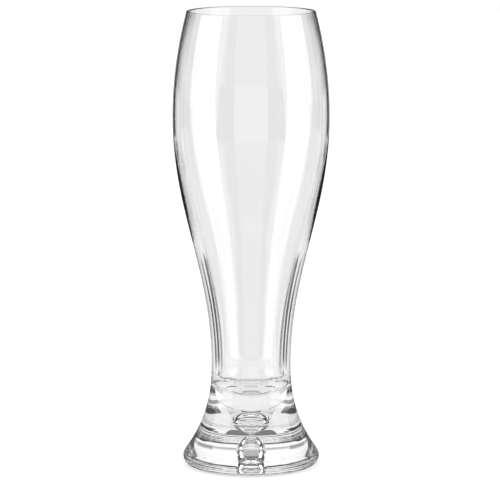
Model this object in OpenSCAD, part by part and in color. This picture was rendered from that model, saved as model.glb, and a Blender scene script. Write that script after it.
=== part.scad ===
// Pilsner glass: a blown bowl fused onto a heavy solid foot with a trapped air bubble.
// The glass stands on z = 0 with its axis on Z. Sizes are in millimetres and degrees.

/* [Bowl] */
// Outer diameter at the rim
rim_d = 64.4; // [54:0.2:74]
// Outer diameter at the belly, the widest level of the bowl
belly_d = 78.6; // [68:0.2:90]
// Outer diameter at the waist, the narrowest level of the glass
waist_d = 39.8; // [34:0.2:48]
// Rise from the waist to the belly
belly_rise = 126; // [100:1:150]
// Rise from the belly to the top of the rim
shoulder_rise = 53; // [40:1:66]
// How far above the waist the wall still runs upright
waist_reach = 49.5; // [25:0.5:70]
// How far below the belly the wall already runs upright
belly_reach = 48.5; // [25:0.5:70]
// Wall thickness from the belly to the rim
rim_wall = 1.1; // [1:0.1:2]
// Wall thickness round the waist
waist_wall = 4.3; // [3:0.1:6]
// Height above the waist where the thick wall starts to thin
thin_start = 54; // [30:1:60]
// Length of wall over which it thins
thin_run = 65; // [40:1:68]
// Thickness of glass between the fused joint and the inside of the bowl
bowl_bottom = 4; // [3:0.1:8]
// Height of the rounded end of the inside
well_round = 12.5; // [6:0.5:18]

/* [Foot] */
// Height of the waist above the table
waist_z = 51; // [42:0.5:60]
// Diameter of the foot
foot_d = 68.8; // [60:0.2:78]
// Radius of the foot's rounded edge
edge_r = 4.8; // [3:0.1:7]
// Lean of the flare where it leaves the edge, from the vertical
flare_lean = 34.5; // [25:0.5:45]
// Straight reach of the flare above the edge
flare_reach = 3.4; // [2:0.1:9]
// How far below the waist the wall still runs upright
neck_reach = 26.8; // [12:0.2:30]
// Width of the ring that the glass stands on
ring_w = 4; // [2:0.5:7]
// Depth of the shallow hollow inside that ring
hollow_h = 0.9; // [0.2:0.1:2]

/* [Bubble] */
// Diameter of the pricked hollow in the underside
prick_d = 10.4; // [7:0.2:13]
// Height of the pricked hollow above the table
prick_h = 12.6; // [9:0.2:17]
// Glass left between the pricked hollow and the bubble
pinch = 0.8; // [0.6:0.1:3]
// Drop from the bubble's widest level to its lowest point
bubble_tail = 6.4; // [4:0.1:8]
// Diameter of the bubble
bubble_d = 14; // [8:0.2:17]
// Rise from the bubble's widest level to its crown
bubble_crown = 6.5; // [3:0.1:8]
// Glass between the bubble's crown and the fused joint
bubble_cover = 4.7; // [3:0.1:8]

/* [Hidden] */

// Steps along one curve of an outline
steps = 24;
// Handle length, as a share of the radius, that makes a quarter turn round
round_share = 0.5523;
// Handle length, as a share of the wall, that makes a half turn round
half_round_share = 2 / 3;
// Handle length, as a share of the tail, that draws the bubble's tail in like a funnel
funnel_share = 0.25;
// Handle length, as a share of the radius, that blunts the tail's tip
tip_share = 0.5;
// Power of the shoulder's inward curve: 2 is a parabola
shoulder_power = 2;
// Facets round the axis
$fn = 180;

belly_z = waist_z + belly_rise;
height = belly_z + shoulder_rise;
bubble_z = prick_h + pinch + bubble_tail;
joint_z = bubble_z + bubble_crown + bubble_cover;
well_z = joint_z + bowl_bottom;
well_top = well_z + well_round;
thin_z = waist_z + thin_start;

// Point on a cubic curve with ends a and d and handles b and c
function curve(a, b, c, d, t) =
    pow(1 - t, 3) * a + 3 * pow(1 - t, 2) * t * b + 3 * (1 - t) * t * t * c + pow(t, 3) * d;

// Points along a cubic curve from share t0 to share t1, both ends included
function run(p, t0 = 0, t1 = 1) =
    [for (i = [0 : steps]) curve(p[0], p[1], p[2], p[3], t0 + (t1 - t0) * i / steps)];

// Share along a rising cubic curve at which it reaches height z, found by halving until the ends meet
function share_at(p, z, low = 0, high = 1) =
    let (mid = (low + high) / 2)
    mid == low || mid == high ? mid
    : curve(p[0], p[1], p[2], p[3], mid)[1] < z ? share_at(p, z, mid, high)
    : share_at(p, z, low, mid);

// Radius of a rising cubic curve at height z
function radius_at(p, z) = curve(p[0], p[1], p[2], p[3], share_at(p, z))[0];

// Middle of the foot's rounded edge, and the point where the flare leaves it
edge_mid = [foot_d / 2 - edge_r, edge_r];
edge_top = edge_mid + edge_r * [cos(flare_lean), sin(flare_lean)];

// Outside of the foot, from its edge up to the waist
flare = [
    edge_top,
    edge_top + flare_reach * [-tan(flare_lean), 1],
    [waist_d / 2, waist_z - neck_reach],
    [waist_d / 2, waist_z]
];

// Outside of the bowl, from the waist up to the belly
body = [
    [waist_d / 2, waist_z],
    [waist_d / 2, waist_z + waist_reach],
    [belly_d / 2, belly_z - belly_reach],
    [belly_d / 2, belly_z]
];

// Outer radius of the shoulder, which draws in from the belly to the rim
function shoulder_r(z) =
    belly_d / 2 - (belly_d - rim_d) / 2 * pow((z - belly_z) / shoulder_rise, shoulder_power);

// Outer radius at any height above the foot's edge
function outer_r(z) =
    z < waist_z ? radius_at(flare, z) : z < belly_z ? radius_at(body, z) : shoulder_r(z);

// Wall thickness, which eases from the waist's wall to the rim's
function wall(z) =
    let (u = min(1, max(0, (z - thin_z) / thin_run)))
    waist_wall + (rim_wall - waist_wall) * u * u * (3 - 2 * u);

// Direction of the wall at the rim, and the height at which its rounding starts
rim_slope = [-shoulder_power * (belly_d - rim_d) / 2 / shoulder_rise, 1];
rim_up = rim_slope / norm(rim_slope);
rim_z = height - rim_wall / 2 * rim_up[1];

// Share of the flare at which the bowl is fused to the foot
joint_share = share_at(flare, joint_z);

// Outside of the bowl, from the fused joint to the start of the rim
function bowl_outside() = concat(
    run(flare, joint_share, 1),
    [for (i = [1 : steps]) curve(body[0], body[1], body[2], body[3], i / steps)],
    [for (i = [1 : steps]) let (z = belly_z + (rim_z - belly_z) * i / steps) [shoulder_r(z), z]]
);

// Rounded rim, from the outside of the wall over to its inside
function rim_round() =
    let (a = [shoulder_r(rim_z), rim_z], b = a - [rim_wall, 0])
    let (lift = half_round_share * rim_wall * rim_up)
    run([a, a + lift, b + lift, b]);

// Inside of the bowl, from the rim down to the rounded end
function bowl_inside() =
    let (levels = 3 * steps)
    [for (i = [1 : levels]) let (z = rim_z + (well_top - rim_z) * i / levels) [outer_r(z) - wall(z), z]];

// Rounded end of the inside, down to the axis
function well_end() =
    let (r = outer_r(well_top) - wall(well_top))
    run([
        [r, well_top],
        [r, well_top - round_share * well_round],
        [round_share * r, well_z],
        [0, well_z]
    ]);

// Underside from the axis outwards: pricked hollow, shallow hollow and standing ring
ring_r = edge_mid[0] - ring_w;
function hollow_z(r) = hollow_h * (1 - pow(r / ring_r, 2));
prick_z = hollow_z(prick_d / 2);

function underside() = concat(
    run([
        [0, prick_h],
        [round_share * prick_d / 2, prick_h],
        [prick_d / 2, prick_z + round_share * (prick_h - prick_z)],
        [prick_d / 2, prick_z]
    ]),
    [for (i = [1 : steps])
        let (r = prick_d / 2 + (ring_r - prick_d / 2) * i / steps) [r, hollow_z(r)]]
);

// Rounded edge of the foot, from the standing ring up to the flare
function edge_round() =
    [for (i = [0 : steps])
        let (a = -90 + (90 + flare_lean) * i / steps) edge_mid + edge_r * [cos(a), sin(a)]];

// Trapped bubble, from its tail on the axis up to its crown
function bubble_half() = concat(
    run([
        [0, bubble_z - bubble_tail],
        [tip_share * bubble_d / 2, bubble_z - bubble_tail],
        [bubble_d / 2, bubble_z - funnel_share * bubble_tail],
        [bubble_d / 2, bubble_z]
    ]),
    run([
        [bubble_d / 2, bubble_z],
        [bubble_d / 2, bubble_z + round_share * bubble_crown],
        [round_share * bubble_d / 2, bubble_z + bubble_crown],
        [0, bubble_z + bubble_crown]
    ])
);

// Blown bowl with its thick bottom
module bowl() {
    color([0.9, 0.92, 0.93, 0.4])
        rotate_extrude()
            polygon(concat(bowl_outside(), rim_round(), bowl_inside(), well_end(), [[0, joint_z]]));
}

// Solid foot with the pricked hollow below and the bubble closed in above it
module foot() {
    color([0.84, 0.87, 0.89, 0.5])
        rotate_extrude()
            difference() {
                polygon(concat(underside(), edge_round(), run(flare, 0, joint_share), [[0, joint_z]]));
                polygon(bubble_half());
            }
}

bowl();
foot();
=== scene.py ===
"""Pilsner glass: a blown bowl fused onto a heavy solid foot with a trapped air bubble.

Both pieces are surfaces turned about the Z axis, worked out with numpy from the outlines that the
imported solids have. Lengths in the classes are in millimetres, and the meshes are in metres.
"""
import logging
import math
from dataclasses import dataclass, field
from enum import Enum
from typing import ClassVar

import bpy
import numpy as np
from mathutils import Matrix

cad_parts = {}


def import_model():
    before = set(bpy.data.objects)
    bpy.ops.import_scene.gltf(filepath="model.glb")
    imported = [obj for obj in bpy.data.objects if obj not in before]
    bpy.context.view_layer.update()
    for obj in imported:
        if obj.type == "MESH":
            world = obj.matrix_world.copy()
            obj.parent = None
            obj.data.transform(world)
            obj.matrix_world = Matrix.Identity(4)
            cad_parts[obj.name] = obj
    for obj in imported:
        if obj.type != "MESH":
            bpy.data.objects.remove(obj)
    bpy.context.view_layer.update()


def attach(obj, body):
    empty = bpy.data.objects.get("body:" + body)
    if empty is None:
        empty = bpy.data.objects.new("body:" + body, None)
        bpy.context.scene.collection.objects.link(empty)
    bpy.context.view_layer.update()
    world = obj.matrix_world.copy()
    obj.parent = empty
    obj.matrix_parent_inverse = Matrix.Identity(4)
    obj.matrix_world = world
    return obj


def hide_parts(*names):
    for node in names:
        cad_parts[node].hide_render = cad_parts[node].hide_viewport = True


LOG = logging.getLogger("pilsner_glass")

# Metres in a millimetre
MM = 0.001
# Faces round the axis
AROUND = 256
# Handle length, as a share of the radius, that makes a quarter turn round
ROUND_SHARE = 0.5523
# Points along a curve among which a height is looked up
LOOKUP_POINTS = 4001
# Sockets of a colour Mix node: its two colours and its result
MIX_A = 6
MIX_B = 7
MIX_RESULT = 2
# Degrees away from straight behind the glass, and degrees above the horizon
TURNS = (0.0, 180.0)
RISES = (-90.0, 90.0)


class Slot(Enum):
    """Material slots of a turned piece."""

    CLEAR = 0
    FUSED = 1


@dataclass(frozen=True)
class Cubic:
    """Cubic curve in (radius, height) with two ends and two handles.

    The point at share t is (1-t)^3 a + 3 (1-t)^2 t b + 3 (1-t) t^2 c + t^3 d.
    """

    a: tuple[float, float]
    b: tuple[float, float]
    c: tuple[float, float]
    d: tuple[float, float]

    def points(self, t: np.ndarray) -> np.ndarray:
        """Points of the curve.

        Args:
            t: Shares along the curve.

        Returns:
            The points, one row each.
        """
        t = t[:, None]
        ends = (1 - t) ** 3 * np.array(self.a) + t ** 3 * np.array(self.d)
        return ends + 3 * (1 - t) ** 2 * t * np.array(self.b) + 3 * (1 - t) * t ** 2 * np.array(self.c)

    def slopes(self, t: np.ndarray) -> np.ndarray:
        """Directions of travel, the curve's derivative by the share.

        Args:
            t: Shares along the curve.

        Returns:
            The directions, one row each.
        """
        t = t[:, None]
        a, b, c, d = (np.array(p) for p in (self.a, self.b, self.c, self.d))
        return 3 * (1 - t) ** 2 * (b - a) + 6 * (1 - t) * t * (c - b) + 3 * t ** 2 * (d - c)

    def share_at(self, z: np.ndarray) -> np.ndarray:
        """Shares at which a rising curve reaches the heights z."""
        dense = np.linspace(0.0, 1.0, LOOKUP_POINTS)
        return np.interp(z, self.points(dense)[:, 1], dense)


@dataclass
class Strip:
    """One smooth stretch of an outline.

    Args:
        points: Outline points in (radius, height), in the order in which the outline is walked.
        slopes: Direction of travel at each point.
        slot: Material slot of the faces that the stretch sweeps.
    """

    points: np.ndarray
    slopes: np.ndarray
    slot: Slot = Slot.CLEAR

    @classmethod
    def along(cls, curve: Cubic, steps: int, start: float = 0.0, end: float = 1.0) -> "Strip":
        """Stretch of a cubic curve between two shares, walked from start to end."""
        t = np.linspace(start, end, steps + 1)
        return cls(curve.points(t), curve.slopes(t) * math.copysign(1.0, end - start))

    @classmethod
    def straight(cls, a: tuple[float, float], b: tuple[float, float], slot: Slot) -> "Strip":
        """Straight stretch from a to b."""
        points = np.array([a, b])
        return cls(points, np.repeat(points[1:] - points[:1], 2, axis=0), slot)

    @classmethod
    def through(cls, points: np.ndarray) -> "Strip":
        """Stretch through given points, with its slopes from neighbouring points."""
        return cls(points, np.gradient(points, axis=0, edge_order=2))

    def normals(self) -> np.ndarray:
        """Unit normals on the right of the way walked: outwards where the walk goes up the outside."""
        across = np.stack([self.slopes[:, 1], -self.slopes[:, 0]], axis=1)
        return across / np.linalg.norm(across, axis=1, keepdims=True)


class TurnedMesh:
    """Closed surface swept by turning an outline, from axis to axis, about the Z axis.

    With radius r(u) and height z(u) along the outline and turn v, the surface is
    (r cos v, r sin v, z). Each face corner gets the outline's own normal, turned by v.
    """

    def __init__(self, strips: list[Strip]) -> None:
        """Works out the arrays of one closed outline.

        Args:
            strips: Stretches of the outline, each starting where the last one ends.
        """
        turn = np.linspace(0.0, 2 * math.pi, AROUND, endpoint=False)
        rings = np.vstack([strips[0].points] + [s.points[1:] for s in strips[1:]])
        low = np.vstack([s.normals()[:-1] for s in strips])
        high = np.vstack([s.normals()[1:] for s in strips])
        slots = np.concatenate([np.full(len(s.points) - 1, s.slot.value) for s in strips])
        self.vertices = self._vertices(rings, turn)
        self.quads, self.triangles = self._faces(len(rings))
        self.quad_normals = self._corner_normals(low[1:-1], high[1:-1], turn)
        self.triangle_normals = self._pole_normals(low, high, turn)
        self.slots = np.concatenate([np.repeat(slots[1:-1], AROUND), np.repeat(slots[[0, -1]], AROUND)])

    @staticmethod
    def _spread(rows: np.ndarray, turn: np.ndarray) -> np.ndarray:
        """Turns (radial, upright) rows about the axis: shape (rows, AROUND, 3)."""
        upright = np.repeat(rows[:, 1:], len(turn), axis=1)
        return np.stack([rows[:, :1] * np.cos(turn), rows[:, :1] * np.sin(turn), upright], axis=-1)

    def _vertices(self, rings: np.ndarray, turn: np.ndarray) -> np.ndarray:
        """Turns the outline's points.

        Args:
            rings: Points of the whole outline, with a pole at either end.
            turn: Angles about the axis.

        Returns:
            Vertices in metres: the first pole, the rings in order, and the last pole.
        """
        poles = np.array([[0.0, 0.0, rings[0, 1]], [0.0, 0.0, rings[-1, 1]]])
        body = self._spread(rings[1:-1], turn).reshape(-1, 3)
        return np.vstack([poles[:1], body, poles[1:]]) * MM

    @staticmethod
    def _faces(count: int) -> tuple[np.ndarray, np.ndarray]:
        """Numbers the vertices of the faces.

        Args:
            count: Number of points along the outline, with both poles.

        Returns:
            Quads between neighbouring rings, and the fans of triangles at both poles.
        """
        here = np.arange(AROUND)
        there = np.roll(here, -1)
        base = 1 + np.arange(count - 3)[:, None] * AROUND
        quads = np.stack([base + here, base + there, base + AROUND + there, base + AROUND + here], axis=-1)
        last = 1 + (count - 3) * AROUND
        first_pole = np.zeros(AROUND, int)
        last_pole = np.full(AROUND, 1 + (count - 2) * AROUND)
        opening = np.stack([first_pole, 1 + there, 1 + here], axis=-1)
        closing = np.stack([last + here, last + there, last_pole], axis=-1)
        return quads.reshape(-1, 4), np.vstack([opening, closing])

    def _corner_normals(self, low: np.ndarray, high: np.ndarray, turn: np.ndarray) -> np.ndarray:
        """Normals of the quads' corners.

        Args:
            low: Outline's normals where each of its steps starts.
            high: Outline's normals where each of its steps ends.
            turn: Angles about the axis.

        Returns:
            The normals in the quads' own order.
        """
        below = self._spread(low, turn)
        above = self._spread(high, turn)
        corners = [below, np.roll(below, -1, axis=1), np.roll(above, -1, axis=1), above]
        return np.stack(corners, axis=2).reshape(-1, 3)

    def _pole_normals(self, low: np.ndarray, high: np.ndarray, turn: np.ndarray) -> np.ndarray:
        """Normals of the corners of both fans.

        Args:
            low: Outline's normals where each of its steps starts.
            high: Outline's normals where each of its steps ends.
            turn: Angles about the axis.

        Returns:
            The normals in the triangles' own order.
        """
        pole, ring = self._spread(low[:1], turn)[0], self._spread(high[:1], turn)[0]
        opening = np.stack([pole, np.roll(ring, -1, axis=0), ring], axis=1)
        ring, pole = self._spread(low[-1:], turn)[0], self._spread(high[-1:], turn)[0]
        closing = np.stack([ring, np.roll(ring, -1, axis=0), pole], axis=1)
        return np.concatenate([opening, closing]).reshape(-1, 3)


def make_piece(name: str, shells: list[TurnedMesh]) -> bpy.types.Object:
    """Puts one or more closed shells into a new mesh object at the origin.

    Args:
        name: Name of the piece.
        shells: Closed surfaces that together bound the glass.

    Returns:
        The new object, with smooth faces and its own corner normals.
    """
    starts = np.cumsum([0] + [len(s.vertices) for s in shells])
    faces: list[list[int]] = []
    for start, shell in zip(starts, shells):
        faces += (shell.quads + start).tolist() + (shell.triangles + start).tolist()
    mesh = bpy.data.meshes.new(name)
    mesh.from_pydata(np.vstack([s.vertices for s in shells]).tolist(), [], faces)
    mesh.polygons.foreach_set("use_smooth", np.ones(len(faces), bool))
    mesh.polygons.foreach_set("material_index", np.concatenate([s.slots for s in shells]).astype(np.int32))
    normals = np.vstack([n for s in shells for n in (s.quad_normals, s.triangle_normals)])
    mesh.normals_split_custom_set(normals.tolist())
    mesh.update()
    piece = bpy.data.objects.new(name, mesh)
    bpy.context.scene.collection.objects.link(piece)
    return piece


@dataclass(frozen=True)
class Flare:
    """Outside of the glass from the foot's rounded edge up to the waist, which both pieces share.

    Args:
        foot_r: Radius of the foot.
        edge_r: Radius of the foot's rounded edge.
        lean: Lean of the flare from the vertical where it leaves the edge.
        reach: Straight reach of the flare above the edge.
        waist_r: Radius of the waist, the narrowest level.
        waist_z: Height of the waist.
        neck_reach: How far below the waist the wall still runs upright.
        joint_z: Height at which the bowl is fused to the foot.
    """

    foot_r: float = 34.4
    edge_r: float = 4.8
    lean: float = math.radians(34.5)
    reach: float = 3.4
    waist_r: float = 19.9
    waist_z: float = 51.0
    neck_reach: float = 26.8
    joint_z: float = 31.0

    @property
    def edge_mid(self) -> tuple[float, float]:
        """Middle of the rounded edge."""
        return self.foot_r - self.edge_r, self.edge_r

    @property
    def curve(self) -> Cubic:
        """Flare from the rounded edge up to the waist.

        Returns:
            The curve, which leaves the edge at its lean and is upright at the waist.
        """
        r = self.edge_mid[0] + self.edge_r * math.cos(self.lean)
        z = self.edge_mid[1] + self.edge_r * math.sin(self.lean)
        handle = (r - self.reach * math.tan(self.lean), z + self.reach)
        waist = (self.waist_r, self.waist_z)
        return Cubic((r, z), handle, (self.waist_r, self.waist_z - self.neck_reach), waist)

    @property
    def joint_share(self) -> float:
        """Share of the flare at which the bowl is fused to the foot."""
        return float(self.curve.share_at(np.array([self.joint_z]))[0])

    @property
    def joint_r(self) -> float:
        """Radius of the fused joint."""
        return float(self.curve.points(np.array([self.joint_share]))[0, 0])


class Graph:
    """Node tree that is built from Python values and expressions."""

    def __init__(self, tree: bpy.types.NodeTree) -> None:
        """Empties the tree and keeps it."""
        tree.nodes.clear()
        self.tree = tree

    def add(self, kind: str, settings: dict[str, object], inputs: dict[str | int, object]) -> bpy.types.Node:
        """Adds any node.

        Args:
            kind: Blender's name for the node type.
            settings: Properties of the node, set first.
            inputs: Values or links for its sockets, by name or number.

        Returns:
            The new node.
        """
        node = self.tree.nodes.new(kind)
        for key, setting in settings.items():
            setattr(node, key, setting)
        for key, value in inputs.items():
            if isinstance(value, Value):
                self.tree.links.new(value.socket, node.inputs[key])
            else:
                node.inputs[key].default_value = value
        return node

    def value(self, kind: str, settings: dict[str, object], inputs: dict[str | int, object],
              output: str | int = 0) -> "Value":
        """Adds any node and returns one of its outputs."""
        return Value(self, self.add(kind, settings, inputs).outputs[output])

    def maths(self, operation: str, *terms: "Value | float") -> "Value":
        """Adds a Math node on the given terms."""
        return self.value("ShaderNodeMath", {"operation": operation}, dict(enumerate(terms)))


class Value:
    """Socket that takes part in Python arithmetic: each expression adds its Math node."""

    def __init__(self, graph: Graph, socket: bpy.types.NodeSocket) -> None:
        """Keeps the socket and the graph that it belongs to."""
        self.graph = graph
        self.socket = socket

    def __add__(self, other: "Value | float") -> "Value":
        """Sum."""
        return self.graph.maths("ADD", self, other)

    __radd__ = __add__

    def __sub__(self, other: "Value | float") -> "Value":
        """Difference."""
        return self.graph.maths("SUBTRACT", self, other)

    def __rsub__(self, other: float) -> "Value":
        """Difference from a number."""
        return self.graph.maths("SUBTRACT", other, self)

    def __mul__(self, other: "Value | float") -> "Value":
        """Product."""
        return self.graph.maths("MULTIPLY", self, other)

    __rmul__ = __mul__


@dataclass(frozen=True)
class ClearGlass:
    """Colourless fire-polished glass with the faint upright draw of a blown wall.

    Args:
        name: Name of the material.
        ior: How strongly the glass bends light.
        pale_tint: Tint where the glass is palest.
        deep_tint: Tint where it is deepest.
        draw_count: Scale of the upright draw round the axis.
        draw_length: Scale of the draw along the axis, per metre.
        draw_detail: Fineness of the draw.
        swell_scale: Scale of the broad swell of the surface, per metre.
        relief: Height of draw and swell, in metres.
        smooth: Least roughness.
        hazy: Roughness that the draw adds.
    """

    name: str = "clear_glass"
    ior: float = 1.52
    pale_tint: tuple[float, float, float, float] = (1.0, 1.0, 1.0, 1.0)
    deep_tint: tuple[float, float, float, float] = (0.988, 0.994, 0.992, 1.0)
    draw_count: float = 5.0
    draw_length: float = 9.0
    draw_detail: float = 2.0
    swell_scale: float = 24.0
    relief: float = 0.000012
    smooth: float = 0.002
    hazy: float = 0.012

    def make(self) -> bpy.types.Material:
        """Builds the material.

        Returns:
            A transmitting material whose tint, roughness and relief vary over the surface.
        """
        material = bpy.data.materials.new(self.name)
        material.use_nodes = True
        graph = Graph(material.node_tree)
        place = graph.value("ShaderNodeTexCoord", {}, {}, "Object")
        parts = graph.add("ShaderNodeSeparateXYZ", {}, {0: place})
        x, y, z = (Value(graph, socket) for socket in parts.outputs)
        flat = graph.value("ShaderNodeCombineXYZ", {}, {"X": x, "Y": y, "Z": 0.0})
        heading = graph.value("ShaderNodeVectorMath", {"operation": "NORMALIZE"}, {0: flat})
        around = graph.add("ShaderNodeSeparateXYZ", {}, {0: heading})
        across, along = (Value(graph, socket) * self.draw_count for socket in around.outputs[:2])
        drawn = graph.value("ShaderNodeCombineXYZ", {}, {"X": across, "Y": along, "Z": z * self.draw_length})
        draw = graph.value("ShaderNodeTexNoise", {},
                           {"Vector": drawn, "Scale": 1.0, "Detail": self.draw_detail}, "Fac")
        swell = graph.value("ShaderNodeTexNoise", {}, {"Vector": place, "Scale": self.swell_scale}, "Fac")
        bump = graph.value("ShaderNodeBump", {},
                           {"Strength": 1.0, "Distance": self.relief, "Height": draw + swell}, "Normal")
        tint = graph.value("ShaderNodeMix", {"data_type": "RGBA"},
                           {"Factor": swell, MIX_A: self.pale_tint, MIX_B: self.deep_tint}, MIX_RESULT)
        shader = graph.value("ShaderNodeBsdfPrincipled", {}, {
            "Base Color": tint, "Roughness": self.smooth + self.hazy * draw, "IOR": self.ior,
            "Transmission Weight": 1.0, "Normal": bump})
        graph.add("ShaderNodeOutputMaterial", {}, {"Surface": shader})
        return material


@dataclass(frozen=True)
class FusedFace:
    """Face inside the glass where bowl and foot have melted together, so nothing of it shows."""

    name: str = "fused_face"

    def make(self) -> bpy.types.Material:
        """Builds the material.

        Returns:
            A fully see-through material that doesn't bend the light.
        """
        material = bpy.data.materials.new(self.name)
        material.use_nodes = True
        graph = Graph(material.node_tree)
        shader = graph.value("ShaderNodeBsdfPrincipled", {}, {"Alpha": 0.0})
        graph.add("ShaderNodeOutputMaterial", {}, {"Surface": shader})
        return material


class TurnedPiece:
    """What both pieces of the glass share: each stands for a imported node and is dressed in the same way."""

    node: ClassVar[str]

    def dress(self, piece: bpy.types.Object, finishes: list[bpy.types.Material]) -> None:
        """Gives a piece its materials and ties it to the node that it stands for.

        Args:
            piece: The turned piece.
            finishes: Materials in the order of the slots.
        """
        for finish in finishes:
            piece.data.materials.append(finish)
        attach(piece, "root")
        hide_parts(self.node)
        LOG.info("%s: %d faces", piece.name, len(piece.data.polygons))


@dataclass
class Bowl(TurnedPiece):
    """Blown drinking vessel: thin at the rim and belly, thick at the waist, with a rounded bottom.

    Args:
        flare: Outside that the bowl shares with the foot.
        rim_r: Outer radius at the rim.
        belly_r: Outer radius at the belly, the widest level.
        belly_z: Height of the belly.
        height: Height of the glass.
        waist_reach: How far above the waist the wall still runs upright.
        belly_reach: How far below the belly the wall already runs upright.
        rim_wall: Wall thickness at the rim.
        waist_wall: Wall thickness round the waist.
        thin_z: Height at which the thick wall starts to thin.
        thin_run: Length of wall over which it thins.
        well_z: Lowest level of the inside.
        well_round: Height of the rounded end of the inside.
        rim_share: Handle length, as a share of the wall, that makes the rim round.
        flare_steps: Steps from the fused joint to the waist.
        body_steps: Steps from the waist to the belly.
        shoulder_steps: Steps from the belly to the rim.
        rim_steps: Steps over the rim.
        inside_steps: Steps down the inside.
        well_steps: Steps round the end of the inside.
    """

    node: ClassVar[str] = "bowl"
    flare: Flare
    rim_r: float = 32.2
    belly_r: float = 39.3
    belly_z: float = 177.0
    height: float = 230.0
    waist_reach: float = 49.5
    belly_reach: float = 48.5
    rim_wall: float = 1.1
    waist_wall: float = 4.3
    thin_z: float = 105.0
    thin_run: float = 65.0
    well_z: float = 35.0
    well_round: float = 12.5
    rim_share: float = 2.0 / 3.0
    flare_steps: int = 28
    body_steps: int = 80
    shoulder_steps: int = 40
    rim_steps: int = 16
    inside_steps: int = 140
    well_steps: int = 36

    @property
    def body(self) -> Cubic:
        """Outside from the waist up to the belly.

        Returns:
            The curve, upright at both ends.
        """
        r, z = self.flare.waist_r, self.flare.waist_z
        below = (self.belly_r, self.belly_z - self.belly_reach)
        return Cubic((r, z), (r, z + self.waist_reach), below, (self.belly_r, self.belly_z))

    def shoulder(self, z: np.ndarray) -> np.ndarray:
        """Outer radius above the belly, which draws in as the square of the rise."""
        rise = (z - self.belly_z) / (self.height - self.belly_z)
        return self.belly_r - (self.belly_r - self.rim_r) * rise ** 2

    def outer(self, z: np.ndarray) -> np.ndarray:
        """Outer radius from the flare up.

        Args:
            z: Heights.

        Returns:
            The radii at those heights.
        """
        flare = self.flare.curve.points(self.flare.curve.share_at(z))[:, 0]
        body = self.body.points(self.body.share_at(z))[:, 0]
        return np.where(z < self.flare.waist_z, flare, np.where(z < self.belly_z, body, self.shoulder(z)))

    def inner(self, z: np.ndarray) -> np.ndarray:
        """Inner radius: the outer one less a wall that eases from waist to rim by 3 u^2 - 2 u^3."""
        u = np.clip((z - self.thin_z) / self.thin_run, 0.0, 1.0)
        return self.outer(z) - self.waist_wall - (self.rim_wall - self.waist_wall) * u * u * (3 - 2 * u)

    def rim(self) -> tuple[Cubic, float]:
        """Rounds the rim from the outside over to the inside.

        Returns:
            The rim's curve, and the height at which it starts.
        """
        slope = -2 * (self.belly_r - self.rim_r) / (self.height - self.belly_z)
        up = np.array([slope, 1.0]) / math.hypot(slope, 1.0)
        z = self.height - self.rim_wall / 2 * up[1]
        a = np.array([float(self.shoulder(np.array([z]))[0]), z])
        b = a - np.array([self.rim_wall, 0.0])
        lift = self.rim_share * self.rim_wall * up
        return Cubic(tuple(a), tuple(a + lift), tuple(b + lift), tuple(b)), float(z)

    def build(self) -> bpy.types.Object:
        """Walks the outline from the fused face up the outside, over the rim and down the inside.

        Returns:
            The bowl's object.
        """
        rim, rim_z = self.rim()
        well_top = self.well_z + self.well_round
        shoulder_z = np.linspace(self.belly_z, rim_z, self.shoulder_steps + 1)
        inside_z = np.linspace(rim_z, well_top, self.inside_steps + 1)
        r = float(self.inner(np.array([well_top]))[0])
        well = Cubic((r, well_top), (r, well_top - ROUND_SHARE * self.well_round),
                     (ROUND_SHARE * r, self.well_z), (0.0, self.well_z))
        joint = (self.flare.joint_r, self.flare.joint_z)
        strips = [
            Strip.straight((0.0, self.flare.joint_z), joint, Slot.FUSED),
            Strip.along(self.flare.curve, self.flare_steps, self.flare.joint_share, 1.0),
            Strip.along(self.body, self.body_steps),
            Strip.through(np.stack([self.shoulder(shoulder_z), shoulder_z], axis=1)),
            Strip.along(rim, self.rim_steps),
            Strip.through(np.stack([self.inner(inside_z), inside_z], axis=1)),
            Strip.along(well, self.well_steps),
        ]
        return make_piece("blown_bowl", [TurnedMesh(strips)])


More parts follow.
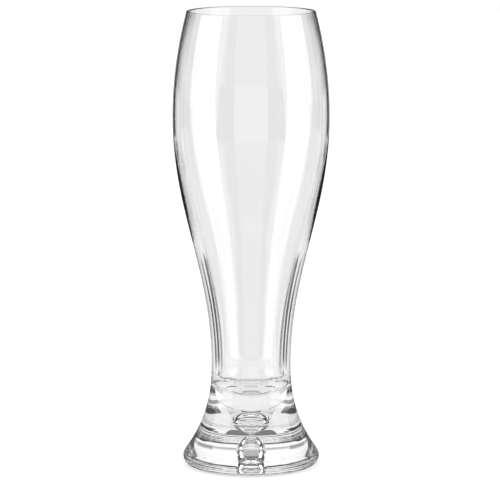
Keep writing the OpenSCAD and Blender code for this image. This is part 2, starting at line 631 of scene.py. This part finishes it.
@dataclass
class Foot(TurnedPiece):
    """Heavy solid foot with a pricked hollow in its underside and a bubble closed in above it.

    Args:
        flare: Outside that the foot shares with the bowl.
        ring_w: Width of the ring that the glass stands on.
        hollow_h: Depth of the shallow hollow inside that ring.
        prick_r: Radius of the pricked hollow.
        prick_h: Height of the pricked hollow above the table.
        bubble_r: Radius of the bubble.
        bubble_z: Height of the bubble's widest level.
        bubble_tail: Drop from there to the bubble's lowest point.
        bubble_crown: Rise from there to its crown.
        funnel_share: Handle length, as a share of the tail, that draws the tail in like a funnel.
        tip_share: Handle length, as a share of the radius, that blunts the tail's tip.
        prick_steps: Steps down the pricked hollow.
        hollow_steps: Steps across the shallow hollow.
        edge_steps: Steps round the edge.
        outside_steps: Steps from the edge to the fused joint.
        crown_steps: Steps down the bubble's crown.
        tail_steps: Steps down its tail.
    """

    node: ClassVar[str] = "foot"
    flare: Flare
    ring_w: float = 4.0
    hollow_h: float = 0.9
    prick_r: float = 5.2
    prick_h: float = 12.6
    bubble_r: float = 7.0
    bubble_z: float = 19.8
    bubble_tail: float = 6.4
    bubble_crown: float = 6.5
    funnel_share: float = 0.25
    tip_share: float = 0.5
    prick_steps: int = 40
    hollow_steps: int = 24
    edge_steps: int = 40
    outside_steps: int = 40
    crown_steps: int = 28
    tail_steps: int = 32

    def hollow(self, r: np.ndarray) -> np.ndarray:
        """Height of the shallow hollow, which falls as the square of the radius to the standing ring."""
        return self.hollow_h * (1 - (r / (self.flare.edge_mid[0] - self.ring_w)) ** 2)

    def underside(self) -> list[Strip]:
        """Walks the underside from the axis outwards.

        Returns:
            The pricked hollow, the shallow hollow and the standing ring.
        """
        ring_r = self.flare.edge_mid[0] - self.ring_w
        mouth = float(self.hollow(np.array([self.prick_r]))[0])
        side = mouth + ROUND_SHARE * (self.prick_h - mouth)
        prick = Cubic((0.0, self.prick_h), (ROUND_SHARE * self.prick_r, self.prick_h),
                      (self.prick_r, side), (self.prick_r, mouth))
        r = np.linspace(self.prick_r, ring_r, self.hollow_steps + 1)
        shallow = Strip.through(np.stack([r, self.hollow(r)], axis=1))
        ring = Strip.straight((ring_r, 0.0), (self.flare.edge_mid[0], 0.0), Slot.CLEAR)
        return [Strip.along(prick, self.prick_steps), shallow, ring]

    def edge(self) -> Strip:
        """Rounds the foot's edge in an arc from the table up to the flare.

        Returns:
            The edge's stretch of the outline.
        """
        a = np.linspace(-math.pi / 2, self.flare.lean, self.edge_steps + 1)
        points = np.array(self.flare.edge_mid) + self.flare.edge_r * np.stack([np.cos(a), np.sin(a)], axis=1)
        return Strip(points, np.stack([-np.sin(a), np.cos(a)], axis=1))

    def bubble(self) -> list[Strip]:
        """Walks the bubble's wall from the crown down, so that its normals point into the air.

        Returns:
            The crown and the tail.
        """
        r, z = self.bubble_r, self.bubble_z
        top, bottom = z + self.bubble_crown, z - self.bubble_tail
        crown = Cubic((0.0, top), (ROUND_SHARE * r, top), (r, z + ROUND_SHARE * self.bubble_crown), (r, z))
        tail = Cubic((r, z), (r, z - self.funnel_share * self.bubble_tail), (self.tip_share * r, bottom),
                     (0.0, bottom))
        return [Strip.along(crown, self.crown_steps), Strip.along(tail, self.tail_steps)]

    def build(self) -> bpy.types.Object:
        """Walks the outline from the pricked hollow round to the fused face, and adds the bubble.

        Returns:
            The foot's object.
        """
        joint = (self.flare.joint_r, self.flare.joint_z)
        outside = Strip.along(self.flare.curve, self.outside_steps, 0.0, self.flare.joint_share)
        fused = Strip.straight(joint, (0.0, self.flare.joint_z), Slot.FUSED)
        shell = TurnedMesh(self.underside() + [self.edge(), outside, fused])
        return make_piece("solid_foot", [shell, TurnedMesh(self.bubble())])


@dataclass(frozen=True)
class Panel:
    """Patch of the studio round the glass, mirrored left and right.

    Args:
        name: What the patch is in the studio.
        turn: Range of degrees away from straight behind the glass.
        rise: Range of degrees above the horizon.
        light: Brightness of the patch, 1 being white.
    """

    name: str
    turn: tuple[float, float]
    rise: tuple[float, float]
    light: float


@dataclass(frozen=True)
class Sheet:
    """Glowing sheet on the table with a near and a far edge about the glass, mirrored left and right, which
    only the glass sees: it stands for the table seen through the glass, and some sheets are painted shade or
    painted light.

    Args:
        name: What the sheet is.
        turn: Range of degrees away from straight behind the glass, along the near edge.
        far_turn: The same along the far edge.
        reach: Distance of the near and of the far edge from the axis.
        drop: Depth below the table, seen through the open middle of the table under the foot.
        light: Brightness of the sheet, 1 being white.
        plain: Whether every straight look through the glass sees plain light there, and not only one that
            crosses four faces.
    """

    name: str
    turn: tuple[float, float]
    far_turn: tuple[float, float]
    reach: tuple[float, float]
    drop: float
    light: float
    plain: bool = False


@dataclass
class Studio:
    """Plain pale floor, soft studio light and the camera.

    Args:
        surroundings: Brightness where no panel lies, 1 being white.
        plain: Brightness that a straight look sees in the place of panels and sheets.
        plain_turn: Degrees away from straight behind beyond which a straight look sees it.
        air_faces: Number of faces that a look crosses on its way through the bowl or a hollow.
        close_look: Length of a look from such a hollow below which it sees the table in shade.
        hollow_shade: Brightness of that shade.
        outline_turn: Degrees away from straight behind within which a mirrored look sees a dark surround.
        outline_light: Brightness of that surround.
        softness: Degrees to either side of a panel's edge over which it fades.
        sheet_steps: Steps along the edge of a sheet.
        floor_half: Half of the floor's side.
        floor_colour: Colour of the floor.
        floor_lift: Brightness that the floor adds for the camera alone.
        distance: Distance of the camera from the point that it looks at.
        pitch: Angle by which the camera looks down.
        aim_z: Height of the point that it looks at.
        focal_px: Focal length in pixels of the photograph.
        middle_px: Column of the photograph in which the glass's axis stands.
        image_px: Side of the photograph in pixels.
        sensor: Width of the camera's sensor.
        clip: Nearest and farthest distance that the camera sees, in metres.
        bounces: Number of times that light may be bent or mirrored.
        clamp: Greatest brightness of light that comes by way of another surface.
        panels: Patches of light and dark far off.
        sheets: Sheets of light and dark close by.
    """

    surroundings: float = 0.85
    plain: float = 0.92
    plain_turn: float = 60.0
    air_faces: int = 4
    close_look: float = 50.0
    hollow_shade: float = 0.3
    outline_turn: float = 40.0
    outline_light: float = 0.05
    softness: float = 1.0
    sheet_steps: int = 48
    floor_half: float = 3000.0
    floor_colour: tuple[float, float, float, float] = (0.8, 0.8, 0.79, 1.0)
    floor_lift: float = 0.5
    distance: float = 1613.4
    pitch: float = math.radians(8.627)
    aim_z: float = 109.573
    focal_px: float = 3205.2
    middle_px: float = 251.1
    image_px: float = 500.0
    sensor: float = 36.0
    clip: tuple[float, float] = (0.01, 100.0)
    bounces: int = 24
    clamp: float = 10.0
    panels: list[Panel] = field(default_factory=lambda: [
        Panel("backdrop", (0, 60), (-90, 25), 0.92),
        Panel("bright backdrop", (0, 46), (5, 25), 1.05),
        Panel("haze above the far edge", (6, 24), (5, 7.5), 0.6),
        Panel("darker haze beside it", (24, 54), (5, 9.5), 0.4),
        Panel("dim wall above the backdrop", (0, 60), (25, 46), 0.3),
        Panel("dark window above the backdrop", (0, 40), (30, 66), 0.1),
        Panel("dark far edge of the table", (0, 54), (-3.2, 5), 0.05),
        Panel("flag", (12, 28), (-9, 4), 0.04),
        Panel("low flag", (24, 36), (-16, -10.5), 0.06),
        Panel("gap beside the backdrop", (47, 54), (-10, 4), 0.05),
        Panel("low gap beside the backdrop", (42, 54), (-22, -11), 0.1),
        Panel("table", (0, 180), (-90, -24), 0.82),
        Panel("side wall", (54, 78), (-8, 60), 0.3),
        Panel("dark side wall", (50, 78), (4, 20), 0.12),
        Panel("dark upper side wall", (36, 84), (20, 38), 0.05),
        Panel("side of the table", (58, 84), (-26, -8), 0.6),
        Panel("softbox", (78, 125), (-4, 28), 1.9),
        Panel("dark above the softbox", (78, 125), (28, 50), 0.2),
        Panel("shaded table", (95, 127), (-40, -4), 0.08),
        Panel("dark flank", (125, 155), (-12, 26), 0.12),
        Panel("lit flank", (125, 155), (26, 38), 1.0),
        Panel("dim flank", (125, 162), (38, 48), 0.35),
        Panel("front", (155, 180), (-12, 28), 0.65),
        Panel("lit front", (162, 180), (28, 60), 1.1),
        Panel("near table", (139, 180), (-46, -12), 0.25),
        Panel("overhead", (12, 180), (60, 90), 1.2),
    ])
    sheets: list[Sheet] = field(default_factory=lambda: [
        Sheet("table_behind", (0, 16), (0, 16), (52, 240), 0.1, 0.9),
        Sheet("table_beside_it", (16, 26), (16, 26), (52, 91), 0.1, 0.9),
        # Painted pool of light on the table, where the glass focuses the light.
        Sheet("light_through_the_glass", (26, 44), (26, 44), (52, 73), 0.1, 1.5),
        Sheet("table_beyond", (26, 44), (26, 44), (73, 91), 0.1, 0.7),
        Sheet("table_beside", (44, 50), (44, 50), (52, 91), 0.1, 0.9),
        Sheet("dark_ring", (16, 50), (16, 50), (91, 104), 0.1, 0.05),
        # Painted shade on the table at the foot's sides.
        Sheet("painted_shade_at_the_sides", (50, 115), (50, 115), (52, 100), 0.1, 0.1, plain=True),
        # Painted shade on the table close beside the foot, where it stands.
        Sheet("painted_shade_close_by", (70, 125), (50, 125), (33, 52), 0.1, 0.06, plain=True),
        Sheet("table_in_front", (115, 180), (115, 180), (52, 100), 0.1, 0.9),
        Sheet("low_softbox", (146, 152), (80, 126), (120, 3500), 0.1, 1.6, plain=True),
        # Painted shade of the table behind the foot, seen through the open middle of the table under it.
        Sheet("painted_shade_behind_the_foot", (0, 4.5), (0, 14), (58, 230), 10.0, 0.15),
        # Painted shade of the table beside that, seen through the open middle of the table under the foot.
        Sheet("painted_shade_beside_the_foot", (11, 32), (20, 42), (63, 104), 10.0, 0.04),
        # Painted shade of the table under the pricked hollow.
        Sheet("painted_shade_under_the_hollow", (0, 180), (0, 180), (0.5, 12), 3.0, 0.45),
    ])

    def light(self) -> None:
        """Builds the world: each panel covers those before it, and the camera itself sees plain white."""
        world = bpy.data.worlds.new("studio")
        bpy.context.scene.world = world
        world.use_nodes = True
        graph = Graph(world.node_tree)
        way = graph.value("ShaderNodeTexCoord", {}, {}, "Generated")
        parts = graph.add("ShaderNodeSeparateXYZ", {}, {0: way})
        x, y, z = (Value(graph, socket) for socket in parts.outputs)
        turn = self.turn_from_behind(graph, x, y)
        rise = graph.maths("ARCSINE", z) * math.degrees(1.0)
        light: Value | float = self.surroundings
        for panel in self.panels:
            cover = self.within(graph, turn, panel.turn, TURNS) * self.within(graph, rise, panel.rise, RISES)
            light = cover * panel.light + (1 - cover) * light
            light.socket.node.label = panel.name
        beside = self.within(graph, turn, (self.plain_turn, TURNS[1]), TURNS)
        light = light + beside * self.straight(graph) * (self.plain - light)
        behind = self.within(graph, turn, (TURNS[0], self.outline_turn), TURNS)
        light = light + behind * self.mirrored_outside(graph) * (self.outline_light - light)
        shown = light + self.path(graph, "Is Camera Ray") * (1 - light)
        ground = graph.value("ShaderNodeBackground", {}, {"Color": (1, 1, 1, 1), "Strength": shown})
        graph.add("ShaderNodeOutputWorld", {}, {"Surface": ground})

    def path(self, graph: Graph, fact: str) -> Value:
        """One fact of a look, such as how often it was mirrored or bent, or how long it is."""
        return graph.value("ShaderNodeLightPath", {}, {}, fact)

    def straight(self, graph: Graph) -> Value:
        """1 for a look that goes straight through the glass, 0 for one that a surface has mirrored."""
        return 1 - graph.maths("MINIMUM", self.path(graph, "Glossy Depth"), 1.0)

    def mirrored_outside(self, graph: Graph) -> Value:
        """1 for a look that the outside has mirrored and that was never in the glass, 0 otherwise."""
        outside = graph.maths("LESS_THAN", self.path(graph, "Transmission Depth"), 1.0)
        return (1 - self.straight(graph)) * outside

    def through_air(self, graph: Graph) -> Value:
        """1 for a straight look across four faces: both walls of the bowl, or the foot and a hollow in it."""
        across = graph.maths("GREATER_THAN", self.path(graph, "Transmission Depth"), self.air_faces - 1.0)
        return self.straight(graph) * across

    def turn_from_behind(self, graph: Graph, x: Value, y: Value) -> Value:
        """Degrees between straight behind the glass and the way to (x, y), left and right alike."""
        return graph.maths("ABSOLUTE", graph.maths("ARCTAN2", x, y)) * math.degrees(1.0)

    def within(self, graph: Graph, measure: Value, span: tuple[float, float],
               full: tuple[float, float]) -> Value | float:
        """Mask that is 1 inside a range and fades at those ends that lie inside the full range.

        Args:
            graph: Node tree that gets the nodes.
            measure: Angle in degrees.
            span: Range of the mask.
            full: Range that the measure can take.

        Returns:
            The mask, or the number 1 where the range is the full one.
        """
        mask: Value | float = 1.0
        if span[0] > full[0]:
            mask = mask * self.step(graph, measure, span[0])
        if span[1] < full[1]:
            mask = mask * (1 - self.step(graph, measure, span[1]))
        return mask

    def step(self, graph: Graph, measure: Value, edge: float) -> Value:
        """Smooth step from 0 to 1 as a measure passes an edge."""
        low, high = edge - self.softness, edge + self.softness
        return graph.value("ShaderNodeMapRange", {"interpolation_type": "SMOOTHSTEP"},
                           {"Value": measure, "From Min": low, "From Max": high})

    def lay(self, sheet: Sheet) -> None:
        """Lays a sheet on the table, where only the glass sees it.

        Args:
            sheet: The sheet to lay.
        """
        mesh = self.sheet_mesh(sheet)
        thing = bpy.data.objects.new(sheet.name, mesh)
        bpy.context.scene.collection.objects.link(thing)
        thing.visible_camera = False
        thing.visible_diffuse = False
        thing.visible_shadow = False
        material = bpy.data.materials.new(sheet.name)
        material.use_nodes = True
        graph = Graph(material.node_tree)
        glow = graph.value("ShaderNodeEmission", {}, {"Strength": self.sheet_light(graph, sheet)})
        graph.add("ShaderNodeOutputMaterial", {}, {"Surface": glow})
        mesh.materials.append(material)

    def sheet_mesh(self, sheet: Sheet) -> bpy.types.Mesh:
        """Makes the flat mesh of a sheet and of its mirror image.

        At turn a from straight behind and distance r, the sheet's point is (r sin a, r cos a).

        Args:
            sheet: The sheet.

        Returns:
            The new mesh.
        """
        columns = self.sheet_steps + 1
        a = np.radians(np.stack([np.linspace(*sheet.turn, columns), np.linspace(*sheet.far_turn, columns)]))
        r = np.array(sheet.reach)[:, None] * MM
        low = np.full((2, columns), -sheet.drop * MM)
        right = np.stack([r * np.sin(a), r * np.cos(a), low], axis=-1).reshape(-1, 3)
        left = right * (-1, 1, 1)
        k = np.arange(self.sheet_steps)
        quads = np.stack([k, k + columns, k + columns + 1, k + 1], axis=1)
        faces = np.concatenate([quads, quads + len(right)])
        mesh = bpy.data.meshes.new(sheet.name)
        mesh.from_pydata(np.concatenate([right, left]).tolist(), [], faces.tolist())
        return mesh

    def sheet_light(self, graph: Graph, sheet: Sheet) -> Value:
        """Brightness that a look sees on a sheet.

        Args:
            graph: Node tree that gets the nodes.
            sheet: The sheet.

        Returns:
            The sheet's own light, or what a straight look sees in its place.
        """
        if sheet.plain:
            return sheet.light + self.straight(graph) * (self.plain - sheet.light)
        close = graph.maths("LESS_THAN", self.path(graph, "Ray Length"), self.close_look * MM)
        instead = self.plain + close * (self.hollow_shade - self.plain)
        return sheet.light + self.through_air(graph) * (instead - sheet.light)

    def floor(self) -> None:
        """Lays a pale floor that shows the soft shadow: the glass sees the studio's table in its place."""
        half = self.floor_half * MM
        corners = [(-half, -half, 0), (half, -half, 0), (half, half, 0), (-half, half, 0)]
        mesh = bpy.data.meshes.new("floor")
        mesh.from_pydata(corners, [], [(0, 1, 2, 3)])
        floor = bpy.data.objects.new("floor", mesh)
        bpy.context.scene.collection.objects.link(floor)
        floor.visible_transmission = False
        floor.visible_glossy = False
        material = bpy.data.materials.new("pale_floor")
        material.use_nodes = True
        graph = Graph(material.node_tree)
        paint = graph.value("ShaderNodeBsdfDiffuse", {}, {"Color": self.floor_colour})
        lift = self.path(graph, "Is Camera Ray") * self.floor_lift
        glow = graph.value("ShaderNodeEmission", {}, {"Strength": lift})
        both = graph.value("ShaderNodeAddShader", {}, {0: paint, 1: glow})
        graph.add("ShaderNodeOutputMaterial", {}, {"Surface": both})
        mesh.materials.append(material)

    def camera(self) -> None:
        """Camera at the photograph's angle, far off and a little above the glass."""
        data = bpy.data.cameras.new("camera")
        camera = bpy.data.objects.new("camera", data)
        bpy.context.scene.collection.objects.link(camera)
        data.sensor_width = self.sensor
        data.lens = self.focal_px / self.image_px * self.sensor
        data.shift_x = (self.image_px / 2 - self.middle_px) / self.image_px
        data.clip_start, data.clip_end = self.clip
        away = self.distance * math.cos(self.pitch)
        up = self.aim_z + self.distance * math.sin(self.pitch)
        camera.location = (0.0, -away * MM, up * MM)
        camera.rotation_euler = (math.pi / 2 - self.pitch, 0.0, 0.0)
        bpy.context.scene.camera = camera

    def settle(self) -> None:
        """Colour handling and the number of times that light may bend in the glass."""
        scene = bpy.context.scene
        scene.view_settings.view_transform = "Standard"
        scene.view_settings.look = "None"
        scene.cycles.max_bounces = self.bounces
        scene.cycles.transmission_bounces = self.bounces
        scene.cycles.glossy_bounces = self.bounces
        scene.cycles.transparent_max_bounces = self.bounces
        scene.cycles.sample_clamp_indirect = self.clamp

    def build(self) -> None:
        """Sets up light, floor, camera and colour handling."""
        self.light()
        self.floor()
        for sheet in self.sheets:
            self.lay(sheet)
        self.camera()
        self.settle()
        LOG.info("studio: %d panels and %d sheets", len(self.panels), len(self.sheets))


def main() -> None:
    """Builds the glass and its studio."""
    logging.basicConfig(level=logging.INFO)
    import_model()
    Studio().build()
    finishes = [ClearGlass().make(), FusedFace().make()]
    flare = Flare()
    for turned in (Bowl(flare), Foot(flare)):
        turned.dress(turned.build(), finishes)
    bpy.context.view_layer.update()


if __name__ == "__main__":
    main()
